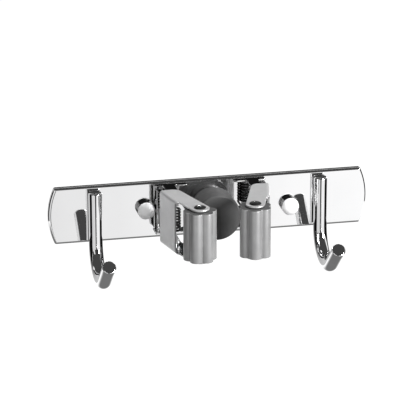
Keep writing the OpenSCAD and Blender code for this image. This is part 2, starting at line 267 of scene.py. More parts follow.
FINISHES = {
    "polished_plate": dict(tones=(0.95, 0.99), rough=(0.015, 0.045), metallic=1.0,
                           blotch=25.0, grain=(60, 60, 2500), relief=0.04, depth=1e-6),
    "polished_rod": dict(tones=(0.86, 0.93), rough=(0.02, 0.05), metallic=1.0,
                         blotch=70.0, grain=(2200, 2200, 120), relief=0.01, depth=1e-6),
    "polished_bracket": dict(tones=(0.85, 0.92), rough=(0.02, 0.06), metallic=1.0,
                             blotch=60.0, grain=(90, 90, 2500), relief=0.05, depth=1e-6),
    "satin_steel": dict(tones=(0.70, 0.76), rough=(0.34, 0.42), metallic=0.78,
                        blotch=120.0, grain=(3000, 3000, 250), relief=0.12, depth=1e-5),
    # unbrushed steel, smoother, and painted darker as shade for the faces inside the arms' channel
    "unbrushed_steel_painted_shade": dict(tones=(0.50, 0.58), rough=(0.06, 0.12), metallic=1.0,
                            blotch=120.0, grain=(300, 300, 300), relief=0.05, depth=1e-6),
    "plated_steel": dict(tones=(0.62, 0.74), rough=(0.22, 0.34), metallic=1.0,
                         blotch=260.0, grain=(1800, 1800, 1800), relief=0.10, depth=8e-6),
    # near black: painted shade standing in for the dark reflection on the axle heads
    "axle_steel": dict(tones=(0.006, 0.012), rough=(0.30, 0.40), metallic=0.0,
                       blotch=500.0, grain=(2600, 2600, 2600), relief=0.10, depth=8e-6, specular=0.15),
    # the same steel made bright: a painted highlight inside the cross recess
    "axle_cross_painted_highlight": dict(tones=(0.75, 0.85), rough=(0.15, 0.25), metallic=1.0,
                       blotch=500.0, grain=(2600, 2600, 2600), relief=0.10, depth=8e-6),
    # near black with almost no gloss: painted shade standing in for the dark inside of the bracket
    "spring_steel": dict(tones=(0.008, 0.016), rough=(0.40, 0.52), metallic=0.0,
                         blotch=300.0, grain=(2500, 2500, 400), relief=0.10, depth=6e-6, specular=0.1),
    "roller_rubber": dict(tones=(0.31, 0.35), rough=(0.30, 0.38), metallic=0.45,
                          blotch=140.0, grain=(2600, 2600, 700), relief=0.10, depth=1e-5),
    # dark end faces: painted shade where the rollers lie under the ears
    "roller_end_painted_shade": dict(tones=(0.045, 0.06), rough=(0.50, 0.60), metallic=0.0,
                       blotch=140.0, grain=(2600, 2600, 700), relief=0.16, depth=2e-5, specular=0.2),
    "roller_core": dict(tones=(0.10, 0.14), rough=(0.45, 0.60), metallic=0.0,
                        blotch=200.0, grain=(2000, 2000, 2000), relief=0.15, depth=2e-5),
    "bumper_rubber": dict(tones=(0.046, 0.060), rough=(0.50, 0.62), metallic=0.0,
                          blotch=90.0, grain=(2400, 2400, 2400), relief=0.25, depth=3e-5),
    "insert_brass": dict(tones=(0.45, 0.60), rough=(0.25, 0.35), metallic=1.0,
                         blotch=300.0, grain=(2400, 2400, 2400), relief=0.10, depth=1e-5),
    # dark cup: painted reflection of the dark surroundings on the chrome cap
    "cap_cup": dict(tones=(0.10, 0.14), rough=(0.05, 0.09), metallic=1.0,
                    blotch=200.0, grain=(2000, 2000, 2000), relief=0.05, depth=2e-6),
    # white matt dome: painted highlight standing in for the chrome dome's bright reflection
    "cap_dome": dict(tones=(0.82, 0.86), rough=(0.30, 0.38), metallic=0.0,
                     blotch=200.0, grain=(2000, 2000, 2000), relief=0.05, depth=2e-6, specular=0.3),
}
MATERIALS = {name: surface(name, **finish) for name, finish in FINISHES.items()}


# Mesh tools: everything is drawn in millimetres, in the frame of the solids

# Angle between faces, in degrees, from which an edge counts as sharp
SHARP = 38
# A face looks along an axis when its normal has more than this share along it
FACING = 0.8
# Points closer than this are one
WELD = 1e-5
# Limit on how far a tight corner is drawn in
TIGHTEST = 0.3
# Steps of a slab's rounded edge, and the flat band beside it that keeps the face's shading flat
SLAB_STEPS = 3
SLAB_LIP = 0.06


def ring_of(count):
    """Angles that share out a full turn."""
    return [2 * math.pi * i / count for i in range(count)]


def arc(x, y, radius, first, last, steps):
    """Points of an arc, ends included, with its angles in degrees."""
    angles = [math.radians(first + (last - first) * i / steps) for i in range(steps + 1)]
    return [(x + radius * math.cos(a), y + radius * math.sin(a)) for a in angles]


def rolled_edge(radius, steps, lip):
    """Pairs of inset and depth along a rounded edge, from a lip on the flat face to the side."""
    angles = [math.pi / 2 * k / steps for k in range(steps + 1)]
    return [(radius + lip, 0)] + [(radius * (1 - math.sin(a)), radius * (1 - math.cos(a))) for a in angles]


def loft(bm, rings, closed=True):
    """Joins rings of equally many points with quads, and closes the two ends."""
    rows = [[bm.verts.new(p) for p in ring] for ring in rings]
    count = len(rows[0])
    for a, b in zip(rows, rows[1:]):
        for i in range(count):
            j = (i + 1) % count
            bm.faces.new((a[i], a[j], b[j], b[i]))
    if closed:
        bm.faces.new(rows[0][::-1])
        bm.faces.new(rows[-1])
    return rows


def lathe(bm, profile, place, segments):
    """Turns a profile of radius and height about the Z axis of a place."""
    rows = []
    for r, h in profile:
        angles = ring_of(segments) if r > 0 else [0.0]
        rows.append([bm.verts.new(place @ Vector((r * math.cos(a), r * math.sin(a), h))) for a in angles])
    for a, b in zip(rows, rows[1:]):
        for i in range(segments):
            j = (i + 1) % segments
            corners = [a[i % len(a)], a[j % len(a)], b[j % len(b)], b[i % len(b)]]
            corners = list(dict.fromkeys(corners))
            if len(corners) > 2:
                bm.faces.new(corners)


def rounded(corners, steps=6):
    """A closed outline from corners (x, y, radius), with each corner rounded by its radius."""
    outline = []
    count = len(corners)
    for i, (x, y, r) in enumerate(corners):
        corner = Vector((x, y))
        if r <= 0:
            outline.append(corner)
            continue
        a = (Vector(corners[i - 1][:2]) - corner).normalized()
        b = (Vector(corners[(i + 1) % count][:2]) - corner).normalized()
        half = a.angle(b) / 2
        middle = corner + (a + b).normalized() * (r / math.sin(half))
        first = corner + a * (r / math.tan(half)) - middle
        last = corner + b * (r / math.tan(half)) - middle
        turn = first.angle_signed(last)
        for k in range(steps + 1):
            c = math.cos(turn * k / steps)
            s = math.sin(-turn * k / steps)
            outline.append(middle + Vector((c * first.x - s * first.y, s * first.x + c * first.y)))
    return outline


def inset(outline, distance):
    """The outline, counter-clockwise, drawn in by a distance."""
    drawn_in = []
    count = len(outline)
    for i, p in enumerate(outline):
        before = p - outline[i - 1]
        after = outline[(i + 1) % count] - p
        a = Vector((before.y, -before.x)).normalized()
        b = Vector((after.y, -after.x)).normalized()
        outwards = (a + b).normalized()
        drawn_in.append(p - outwards * (distance / max(outwards.dot(a), TIGHTEST)))
    return drawn_in


def slab(bm, outline, low, high, edge, place):
    """A slab between two heights with that outline and rounded edges, in a place of its own."""
    edges = rolled_edge(edge, SLAB_STEPS, SLAB_LIP)
    levels = [(d, low + depth) for d, depth in edges]
    levels += [(d, high - depth) for d, depth in reversed(edges)]
    loft(bm, [[place @ Vector((p.x, p.y, z)) for p in inset(outline, d)] for d, z in levels])


def shade(bm, sharp):
    """Makes the faces smooth and marks every edge that is sharper than an angle."""
    limit = math.radians(sharp)
    for face in bm.faces:
        face.smooth = True
    for edge in bm.edges:
        edge.smooth = len(edge.link_faces) == 2 and edge.calc_face_angle(0.0) < limit


def cut_away(obj, cutter, sharp=SHARP):
    """Takes a cutter's shape out of a piece."""
    cut = obj.modifiers.new("cut", "BOOLEAN")
    cut.object = cutter
    cut.operation = "DIFFERENCE"
    cut.solver = "EXACT"
    cut.use_self = True
    bpy.context.view_layer.update()
    made = bpy.data.meshes.new_from_object(obj.evaluated_get(bpy.context.evaluated_depsgraph_get()))
    obj.modifiers.clear()
    obj.data = made
    bpy.data.objects.remove(cutter)
    bm = bmesh.new()
    bm.from_mesh(made)
    shade(bm, sharp)
    bm.to_mesh(made)
    bm.free()


def finish_mesh(name, bm, slot, sharp=SHARP):
    """Turns a drawing into an object in metres, smooth but for its sharp edges."""
    bmesh.ops.scale(bm, vec=(MM, MM, MM), verts=bm.verts)
    bmesh.ops.recalc_face_normals(bm, faces=bm.faces)
    shade(bm, sharp)
    mesh = bpy.data.meshes.new(name)
    bm.to_mesh(mesh)
    bm.free()
    mesh.materials.append(MATERIALS[slot])
    obj = bpy.data.objects.new(name, mesh)
    bpy.context.scene.collection.objects.link(obj)
    return obj


def piece(name, bm, slot, body, node, sharp=SHARP):
    """A finished piece that rides on a body and stands for one of its nodes."""
    obj = finish_mesh(name, bm, slot, sharp)
    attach(obj, body)
    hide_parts(node)
    return obj


def flat_faces(obj):
    """Keeps the flat faces of folded sheet true beside their small rounded edges."""
    even = obj.modifiers.new("even", "WEIGHTED_NORMAL")
    even.keep_sharp = True


def at_clip(side):
    """The middle of the clip on the plate's face; the right side is the left one mirrored."""
    middle = Matrix.Translation((0, -PLATE_DEPTH, CLIP_Z))
    if side == LEFT:
        return middle
    return Matrix.Scale(-1, 4, (1, 0, 0)) @ middle


def at_hinge(side):
    """The hinge axis, with X forward along the web and Y inwards across it."""
    hinge = Matrix.Translation((-HINGE_X, -HINGE_REACH, 0))
    return at_clip(side) @ hinge @ Matrix.Rotation(LEAN - math.pi / 2, 4, "Z")


def at_axle(side):
    return at_hinge(side) @ Matrix.Translation((AXLE_AHEAD, AXLE_INWARDS, 0))


def out_of_wall(x, z):
    """A point on the plate's face with Z pointing out of the wall."""
    return Matrix.Translation((x, -PLATE_DEPTH, z)) @ Matrix.Rotation(math.pi / 2, 4, "X")


# Back plate: a shallow pan with a rolled front edge

PLATE_CORNER = 1.7
PLATE_CORNER_STEPS = 6
PLATE_END_STEPS = 40
FRONT_ROLL = 1.8
FRONT_STEPS = 8
FRONT_LIP = 0.12
INNER_ROLL = 0.8
INNER_STEPS = 4
INNER_LIP = 0.1
PLATE_RIM = 0.2
SCREW_HOLE = 2.3
SCREW_HOLE_STEPS = 32
SLOT_HALF = 3
# How far the holes are cut past the wall's face and the plate's
CUT_BEHIND = 2.0
CUT_BEFORE = 1.0


def plate_outline():
    """The outline in X and Z: an arc at each end, with rounded corners."""
    end_radius = (PLATE_END_RISE ** 2 + PLATE_HEIGHT ** 2 / 4) / (2 * PLATE_END_RISE)
    end_x = PLATE_WIDTH / 2 - end_radius
    corner_z = PLATE_HEIGHT / 2 - PLATE_CORNER
    corner_x = end_x + math.sqrt((end_radius - PLATE_CORNER) ** 2 - corner_z ** 2)
    lean = math.degrees(math.atan2(corner_z, corner_x - end_x))
    right = arc(corner_x, -corner_z, PLATE_CORNER, -90, -lean, PLATE_CORNER_STEPS)
    right += arc(end_x, 0, end_radius, -lean, lean, PLATE_END_STEPS)[1:-1]
    right += arc(corner_x, corner_z, PLATE_CORNER, lean, 90, PLATE_CORNER_STEPS)
    return [Vector(p) for p in right] + [Vector((-x, -z)) for x, z in right]


def plate_cutter():
    """The round hole of the left screw and the upright slot of the right one."""
    half_steps = SCREW_HOLE_STEPS // 2
    hole = arc(0, 0, SCREW_HOLE, 0, 360, SCREW_HOLE_STEPS)[:-1]
    slot = arc(0, SLOT_HALF, SCREW_HOLE, 0, 180, half_steps)
    slot += arc(0, -SLOT_HALF, SCREW_HOLE, 180, 360, half_steps)
    bm = bmesh.new()
    for outline, spot in ((hole, LEFT_SCREW), (slot, RIGHT_SCREW)):
        place = out_of_wall(*spot)
        heights = (-PLATE_DEPTH - CUT_BEHIND, CUT_BEFORE)
        loft(bm, [[place @ Vector((x, y, h)) for x, y in outline] for h in heights])
    return finish_mesh("plate_cutter", bm, "polished_plate")


def back_plate():
    bm = bmesh.new()
    outline = plate_outline()
    inside = PLATE_DEPTH - PLATE_SHEET
    inner = rolled_edge(INNER_ROLL, INNER_STEPS, INNER_LIP)
    front = rolled_edge(FRONT_ROLL, FRONT_STEPS, FRONT_LIP)
    levels = [(PLATE_SHEET + d, inside - depth) for d, depth in inner]
    levels += [(PLATE_SHEET, PLATE_RIM), (PLATE_SHEET - PLATE_RIM, 0), (PLATE_RIM, 0), (0, PLATE_RIM)]
    levels += [(d, PLATE_DEPTH - depth) for d, depth in reversed(front)]
    loft(bm, [[Vector((p.x, -h, p.y)) for p in inset(outline, d)] for d, h in levels])
    obj = finish_mesh("plate", bm, "polished_plate")
    cut_away(obj, plate_cutter())
    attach(obj, "rack")
    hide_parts("back_plate")


back_plate()


# Hooks: a swept rod with rounded ends

ROD_EDGE = 1.0
ROD_EDGE_STEPS = 4
ROD_LIP = 0.15
ROD_SIDES = 56
SHAFT_STEPS = 6
BEND_STEPS = 40
TIP_STEPS = 4


def hook_path():
    """Points in Y and Z along the rod, each with its heading and the rod's radius there."""
    axis_y = -PLATE_DEPTH - ROD_RADIUS + HOOK_SEAT
    top_z = PLATE_HEIGHT / 2 - HOOK_TOP_GAP
    start = Vector((axis_y, top_z))
    down = Vector((0, -1))
    edges = rolled_edge(ROD_EDGE, ROD_EDGE_STEPS, ROD_LIP)
    path = [(start + down * depth, down, ROD_RADIUS - d) for d, depth in edges]
    for k in range(1, SHAFT_STEPS):
        along = ROD_EDGE + (HOOK_DROP - ROD_EDGE) * k / SHAFT_STEPS
        path.append((start + down * along, down, ROD_RADIUS))
    middle = Vector((axis_y - HOOK_BEND_RADIUS, top_z - HOOK_DROP))
    for k in range(BEND_STEPS + 1):
        a = (math.pi / 2 + HOOK_RISE) * k / BEND_STEPS
        outwards = Vector((math.cos(a), -math.sin(a)))
        ahead = Vector((-math.sin(a), -math.cos(a)))
        path.append((middle + HOOK_BEND_RADIUS * outwards, ahead, ROD_RADIUS))
    bend_end, ahead, _ = path[-1]
    for k in range(1, TIP_STEPS):
        along = (HOOK_END_LENGTH - ROD_EDGE) * k / TIP_STEPS
        path.append((bend_end + ahead * along, ahead, ROD_RADIUS))
    for d, depth in reversed(edges):
        path.append((bend_end + ahead * (HOOK_END_LENGTH - depth), ahead, ROD_RADIUS - d))
    return path


def hook(name, x):
    bm = bmesh.new()
    rings = []
    for middle, heading, radius in hook_path():
        across = Vector((-heading.y, heading.x))
        ring = []
        for a in ring_of(ROD_SIDES):
            p = middle + across * (radius * math.cos(a))
            # the rod is flat where it is seated on the plate
            on_plate = p.y > -PLATE_HEIGHT / 2
            y = min(p.x, -PLATE_DEPTH) if on_plate else p.x
            ring.append(Vector((x + radius * math.sin(a), y, p.y)))
        rings.append(ring)
    loft(bm, rings)
    piece(name + "_rod", bm, "polished_rod", "rack", name + "_hook")


hook("left", LEFT_HOOK_X)
hook("right", RIGHT_HOOK_X)


# Clip bracket: a folded base with side walls, and the tabs that carry the hinges

BRACKET_HALF = HINGE_X + WALL_OUT
BRACKET_EDGE = 0.25
WALL_END_ROUND = 0.4
FOLD_OUTER = 1.8
FOLD_INNER = 0.6
WALL_SHORT = 1.2
# The base lies a hair behind the folded sheet, so that no two faces lie in one plane
BASE_BEHIND = 0.03
BASE_NARROW = 0.4
TAB_WIDTH = 22.5
TAB_STRIP = 6.0
TAB_EDGE = 0.22
TAB_CORNER = 0.8
TAB_REAR = 0.1
TAB_REAR_CORNER = 0.45
TAB_SUNK = 0.01
STEM_OUT = 3.2
BOSS_GAP = 0.4
BOSS_RADIUS = WEB_GAP - BOSS_GAP
BOSS_STEPS = 12
TOE_LENGTH = 6.5
TOE_GAP = 0.15
TOE_CORNER = 0.6


def fold_outline():
    """The folded sheet in X and Y, with a wall at each side."""
    inner = BRACKET_HALF - BRACKET_SHEET
    right_end = [(inner, -WALL_REACH, WALL_END_ROUND), (BRACKET_HALF, -WALL_REACH, WALL_END_ROUND)]
    back = [(BRACKET_HALF, 0, FOLD_OUTER), (-BRACKET_HALF, 0, FOLD_OUTER)]
    left_end = [(-BRACKET_HALF, -WALL_REACH, WALL_END_ROUND), (-inner, -WALL_REACH, WALL_END_ROUND)]
    front = [(-inner, -BRACKET_SHEET, FOLD_INNER), (inner, -BRACKET_SHEET, FOLD_INNER)]
    return rounded(right_end + back + left_end + front)


def base_outline():
    half = BRACKET_HALF - BASE_NARROW
    face = BASE_BEHIND - BRACKET_SHEET
    return rounded([(half, face, 0), (half, 0, 0), (-half, 0, 0), (-half, face, 0)])


def tab_outline():
    """A strip along the base, a boss round the hinge, and a toe that the closed arm rests against."""
    hinge = Vector((-HINGE_X, -HINGE_REACH))
    ahead = Vector((math.sin(LEAN), -math.cos(LEAN)))
    inwards = Vector((math.cos(LEAN), math.sin(LEAN)))

    def boss(first, last):
        return [(x, y, 0) for x, y in arc(hinge.x, hinge.y, BOSS_RADIUS, first, last, BOSS_STEPS)]

    outer_x = -BRACKET_HALF
    inner_x = outer_x + TAB_WIDTH
    toe_start = hinge - inwards * (WEB_GAP - TOE_GAP)
    toe_outer = toe_start + ahead * TOE_LENGTH
    toe_inner = hinge + ahead * TOE_LENGTH
    tab = [(outer_x, -TAB_REAR, TAB_REAR_CORNER), (outer_x, -TAB_STRIP, TAB_CORNER)]
    tab += [(hinge.x - STEM_OUT, -TAB_STRIP, TAB_CORNER)]
    tab += boss(90 + math.degrees(math.asin(STEM_OUT / BOSS_RADIUS)), 180 + LEAN_DEGREES)
    tab += [(*toe_start, 0), (*toe_outer, TOE_CORNER), (*toe_inner, TOE_CORNER)]
    tab += boss(270 + LEAN_DEGREES, 360)
    tab += [(hinge.x + BOSS_RADIUS, -TAB_STRIP, TAB_CORNER)]
    tab += [(inner_x, -TAB_STRIP, TAB_CORNER), (inner_x, -TAB_REAR, TAB_REAR_CORNER)]
    return rounded(tab)


def bracket():
    bm = bmesh.new()
    half = BRACKET_HEIGHT / 2
    wall = half - BRACKET_SHEET - WALL_SHORT
    slab(bm, fold_outline(), -wall, wall, BRACKET_EDGE, at_clip(LEFT))
    slab(bm, base_outline(), -half, half, BRACKET_EDGE, at_clip(LEFT))
    tab = tab_outline()
    for _, side in SIDES:
        for low in (-half + TAB_SUNK, half - BRACKET_SHEET - TAB_SUNK):
            slab(bm, tab, low, low + BRACKET_SHEET, TAB_EDGE, at_clip(side))
    flat_faces(piece("bracket", bm, "polished_bracket", "rack", "clip_bracket"))


bracket()


# Arms: a web with rolled bends and an ear above and below, and the pin they swing on

ARM_ROLL = 2.3
ARM_INNER_ROLL = 0.4
ARM_FILLET = 2.4
ARM_EDGE = 0.22
ARM_BEND_STEPS = 10
WEB_STEPS = 40
# Where the bends end and the flat ears start, across the web
FLANGE = ARM_ROLL - WEB_OUT
EAR_EDGE = 0.28
EAR_LAP = 0.3
EAR_SHORT = 0.5
EAR_TIP_STEPS = 40
EAR_BACK_STEPS = 14
PIN_RADIUS = 2.25
PIN_SEGMENTS = 40
# Radius and height over the ear at the middle of the pin's domed end, and on its way down
PIN_CROWN = ((0, 0.12), (1.2, 0.096))
PIN_EDGE = 0.15
PIN_EDGE_PROUD = 0.02


def web_line(web, top, roll, leads):
    """One side of the section across the web, from the upper bend to the lower one."""
    bend = [(FLANGE, top)] * leads + arc(web + roll, top - roll, roll, 90, 180, ARM_BEND_STEPS - leads)
    straight = top - roll
    middle = [(web, straight - 2 * straight * k / WEB_STEPS) for k in range(1, WEB_STEPS)]
    return [Vector(p) for p in bend + middle + [(y, -z) for y, z in reversed(bend)]]


def web_front(z):
    """The web's front edge, which runs out into the ears in a fillet."""
    over = abs(z) - (ARM_HEIGHT / 2 - ARM_SHEET - ARM_FILLET)
    over = min(max(over, 0), ARM_FILLET)
    return WEB_FRONT + ARM_FILLET - math.sqrt(ARM_FILLET ** 2 - over ** 2)


def web(bm, place):
    half = ARM_HEIGHT / 2
    outer = web_line(-WEB_OUT, half, ARM_ROLL, 0)
    inner = web_line(-WEB_GAP, half - ARM_SHEET, ARM_INNER_ROLL, 1)
    section = outer + inner[::-1]
    edges = rolled_edge(ARM_EDGE, SLAB_STEPS, SLAB_LIP)
    rings = []
    for d, depth in edges:
        rings.append([place @ Vector((depth - WEB_BACK, p.x, p.y)) for p in inset(section, d)])
    for d, depth in reversed(edges):
        rings.append([place @ Vector((web_front(p.y) - depth, p.x, p.y)) for p in inset(section, d)])
    rows = loft(bm, rings, closed=False)
    for row in (rows[0], rows[-1]):
        for i in range(len(outer) - 1):
            bm.faces.new((row[i], row[i + 1], row[-2 - i], row[-1 - i]))


def ears(bm, place):
    half = ARM_HEIGHT / 2
    axle_distance = math.hypot(AXLE_AHEAD, AXLE_INWARDS)
    axle_lean = math.atan2(AXLE_INWARDS, AXLE_AHEAD)
    tangent = math.degrees(axle_lean + math.acos((EAR_RADIUS - TIP_RADIUS) / axle_distance))
    seam = FLANGE - EAR_LAP
    ear = [(EAR_SHORT - WEB_BACK, seam), (WEB_FRONT + ARM_FILLET - EAR_LAP, seam)]
    ear += arc(AXLE_AHEAD, AXLE_INWARDS, TIP_RADIUS, -90, tangent, EAR_TIP_STEPS)
    ear += arc(0, 0, EAR_RADIUS, tangent, 180, EAR_BACK_STEPS)
    outline = [Vector(p) for p in ear]
    for low in (-half, half - ARM_SHEET):
        slab(bm, outline, low, low + ARM_SHEET, EAR_EDGE, place)


def paint_shade_inside_channel(bm, place):
    """Only the outside is brushed: the faces that look into the channel take the second material, which is
    smoother and is also painted darker as shade inside the channel.
    """
    bmesh.ops.recalc_face_normals(bm, faces=bm.faces)
    to_arm = place.inverted()
    ear_middle = ARM_HEIGHT / 2 - ARM_SHEET / 2
    for face in bm.faces:
        spot = to_arm @ face.calc_center_median()
        normal = to_arm.to_3x3() @ face.normal
        in_ear = abs(spot.z) < ear_middle and normal.z * spot.z < 0 and abs(normal.z) > FACING
        in_web = spot.y < FLANGE and normal.y > FACING
        face.material_index = int(in_ear or in_web)


def arm_sheet(name, place):
    bm = bmesh.new()
    web(bm, place)
    ears(bm, place)
    paint_shade_inside_channel(bm, place)
    sheet = piece(name + "_arm_sheet", bm, "satin_steel", name + "_arm_body", name + "_arm")
    # the second material is painted shade on the faces inside the channel
    sheet.data.materials.append(MATERIALS["unbrushed_steel_painted_shade"])
    flat_faces(sheet)


def hinge_rivet(name, place):
    bm = bmesh.new()
    half = ARM_HEIGHT / 2
    profile = [(r, -half - proud) for r, proud in PIN_CROWN]
    profile += [(PIN_RADIUS - PIN_EDGE, -half - PIN_EDGE_PROUD), (PIN_RADIUS, PIN_EDGE - half)]
    profile += [(r, -z) for r, z in reversed(profile)]
    lathe(bm, profile, place, PIN_SEGMENTS)
    rivet = piece(name + "_hinge_rivet", bm, "plated_steel", name + "_arm_body", name + "_hinge_pin")
    # the pin's ends are ground down and brushed together with the ears
    rivet.data.materials[0] = MATERIALS["satin_steel"]


for name, side in SIDES:
    arm_sheet(name, at_hinge(side))
    hinge_rivet(name, at_hinge(side))


# Rollers: rounded lobes with soft valleys and rolled end edges

VALLEY_FILLET = 0.55
VALLEY_STEPS = 6
LOBE_STEPS = 26
ROLLER_BORE = 4.02
BORE_EDGE = 0.3
ROLLER_EDGE = 0.4
ROLLER_EDGE_STEPS = 5
ROLLER_LIP = 0.2


def roller_outline():
    """One lobe after another, with a small fillet in each valley."""
    step = 2 * math.pi / LOBES
    half = step / 2
    # the fillet's middle lies on the valley's line, one fillet radius outside two lobes
    reach = LOBE_RADIUS + VALLEY_FILLET
    along = LOBE_PITCH * math.cos(half) + math.sqrt(reach ** 2 - (LOBE_PITCH * math.sin(half)) ** 2)
    middle = Vector((along * math.cos(half), along * math.sin(half)))
    touch = math.degrees(math.atan2(middle.y, middle.x - LOBE_PITCH))
    lobe = arc(LOBE_PITCH, 0, LOBE_RADIUS, -touch, touch, LOBE_STEPS)
    first = touch - 180
    last = math.degrees(step) - touch - 180
    valley = arc(middle.x, middle.y, VALLEY_FILLET, first, last, VALLEY_STEPS)[1:-1]
    outline = []
    for i in range(LOBES):
        turn = Matrix.Rotation(step * i, 2)
        outline += [turn @ Vector(p) for p in lobe + valley]
    return outline


def roller(name, side, turn):
    bm = bmesh.new()
    outline = roller_outline()
    place = at_axle(side) @ Matrix.Rotation(turn, 4, "Z")
    half = ROLLER_HEIGHT / 2

    def bore(r, z):
        return [Vector((*(p.normalized() * r), z)) for p in outline]

    def grip(d, z):
        return [Vector((p.x, p.y, z)) for p in inset(outline, d)]

    edges = rolled_edge(ROLLER_EDGE, ROLLER_EDGE_STEPS, ROLLER_LIP)
    mouth = ROLLER_BORE + BORE_EDGE
    rings = [bore(ROLLER_BORE, 0), bore(ROLLER_BORE, BORE_EDGE - half), bore(mouth, -half)]
    rings += [grip(d, depth - half) for d, depth in edges]
    rings += [grip(d, half - depth) for d, depth in reversed(edges)]
    rings += [bore(mouth, half), bore(ROLLER_BORE, half - BORE_EDGE), bore(ROLLER_BORE, 0)]
    loft(bm, [[place @ p for p in ring] for ring in rings], closed=False)
    bmesh.ops.remove_doubles(bm, verts=bm.verts, dist=WELD)
    bm.normal_update()
    # faces that look along the axle take the dark second material, painted shade on the roller's ends
    for face in bm.faces:
        face.material_index = int(abs(face.normal.z) > FACING)
    obj = piece(name + "_roller_grip", bm, "roller_rubber", name + "_roller_body", name + "_roller")
    obj.data.materials.append(MATERIALS["roller_end_painted_shade"])


roller("left", LEFT, LEFT_TURN)
roller("right", RIGHT, RIGHT_TURN)


# Axles: a domed head with a cross recess and a peened foot

AXLE_RADIUS = 2.0
AXLE_SEGMENTS = 48
AXLE_SHARP = 50
# Radius and depth below the lower ear, from the middle out
AXLE_FOOT = ((0, 0.9), (1.2, 0.8), (2.2, 0.45), (2.7, 0.12), (2.8, 0))
# Radius and height over the upper ear, from the outside in
AXLE_HEAD = (
    (4.0, 0), (4.1, 0.1), (4.1, 0.4), (3.95, 0.62),
    (3.4, 0.92), (2.6, 1.17), (1.6, 1.33), (0, 1.4),
)
CROSS_LONG = 2.2
CROSS_WIDE = 0.5
CROSS_CORNER = 0.2
CROSS_CORNER_STEPS = 3
CROSS_FLOOR = 0.7
CROSS_TOP = 2.0
CROSS_TAPER = 0.8


def cross_cutter(place):
    """The two bars of the cross, a little narrower at their floor; the faces they cut take a bright
    painted highlight.
    """
    bm = bmesh.new()
    half = ARM_HEIGHT / 2
    levels = ((CROSS_TAPER, half + CROSS_FLOOR), (1.0, half + CROSS_TOP))
    for x, y in ((CROSS_LONG, CROSS_WIDE), (CROSS_WIDE, CROSS_LONG)):
        corners = [(a * x, b * y, CROSS_CORNER) for a, b in ((-1, -1), (1, -1), (1, 1), (-1, 1))]
        bar = rounded(corners, CROSS_CORNER_STEPS)
        loft(bm, [[place @ Vector((p.x * share, p.y * share, z)) for p in bar] for share, z in levels])
    for face in bm.faces:
        face.material_index = 1
    return finish_mesh("axle_cutter", bm, "axle_steel")


def axle(name, side):
    bm = bmesh.new()
    place = at_axle(side)
    half = ARM_HEIGHT / 2
    profile = [(r, -half - depth) for r, depth in AXLE_FOOT]
    profile += [(AXLE_RADIUS, -half), (AXLE_RADIUS, half)]
    profile += [(r, half + height) for r, height in AXLE_HEAD]
    lathe(bm, profile, place, AXLE_SEGMENTS)
    obj = finish_mesh(name + "_axle_rivet", bm, "axle_steel", AXLE_SHARP)
    cutter = cross_cutter(place)
    # the cross's faces take the bright material, a painted highlight in the recess
    for thing in (obj, cutter):
        thing.data.materials.append(MATERIALS["axle_cross_painted_highlight"])
    cut_away(obj, cutter, AXLE_SHARP)
    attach(obj, name + "_arm_body")
    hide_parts(name + "_axle")


for name, side in SIDES:
    axle(name, side)


# Bumper: a disc on a neck, with soft edges and a slightly dished face

BUMPER_SEGMENTS = 96
BUMPER_SEAT = 0.02
BUMPER_FOOT = 0.4
BUMPER_FOOT_HEIGHT = 0.5
NECK_FILLET = 0.5
NECK_FILLET_MIDDLE = 0.15
BUMPER_REAR_EDGE = 0.8
BUMPER_REAR_STEPS = 5
BUMPER_FRONT_EDGE = 1.2
BUMPER_FRONT_STEPS = 8
BUMPER_LIP = 0.3
# Radius, as a share of the bumper's, and depth of the dish
BUMPER_DISH = ((0.5, 0.05), (0, 0.08))


def bumper():
    bm = bmesh.new()
    step = BUMPER_REACH - BUMPER_BODY
    profile = [(BUMPER_NECK - BUMPER_FOOT, BRACKET_SHEET + BUMPER_SEAT)]
    profile += [(BUMPER_NECK, BRACKET_SHEET + BUMPER_FOOT_HEIGHT), (BUMPER_NECK, step - NECK_FILLET)]
    profile += [(BUMPER_NECK + NECK_FILLET_MIDDLE, step - NECK_FILLET_MIDDLE)]
    profile += [(BUMPER_NECK + NECK_FILLET, step)]
    edge = BUMPER_REAR_EDGE
    profile += arc(BUMPER_RADIUS - edge, step + edge, edge, -90, 0, BUMPER_REAR_STEPS)
    edge = BUMPER_FRONT_EDGE
    profile += arc(BUMPER_RADIUS - edge, BUMPER_REACH - edge, edge, 0, 90, BUMPER_FRONT_STEPS)
    profile += [(BUMPER_RADIUS - edge - BUMPER_LIP, BUMPER_REACH)]
    profile += [(BUMPER_RADIUS * share, BUMPER_REACH - depth) for share, depth in BUMPER_DISH]
    lathe(bm, profile, out_of_wall(0, CLIP_Z), BUMPER_SEGMENTS)
    piece("bumper_pad", bm, "bumper_rubber", "rack", "bumper")


bumper()


# Caps: a domed cap with a rim over a cup

CAP_SEGMENTS = 72
CUP_SEAT = 0.02
CUP_HOLE = 2.3
CUP_WALL = 1.3
CUP_FOOT_EDGE = 0.3
CUP_TOP_EDGE = 0.25
PLUG_DEPTH = 0.6
PLUG_INSET = 1.45
PLUG_TOP_INSET = 1.4
# The groove between the cup and the cap's rim
GROOVE = 0.6
RIM_EDGE = 0.2
RIM_HEIGHT = 0.7
RIM_TOP_INSET = 0.12
RIM_TOP_HEIGHT = 0.95
DOME_START = 0.9
DOME_STEPS = 16
DOME_SHARE = 0.985


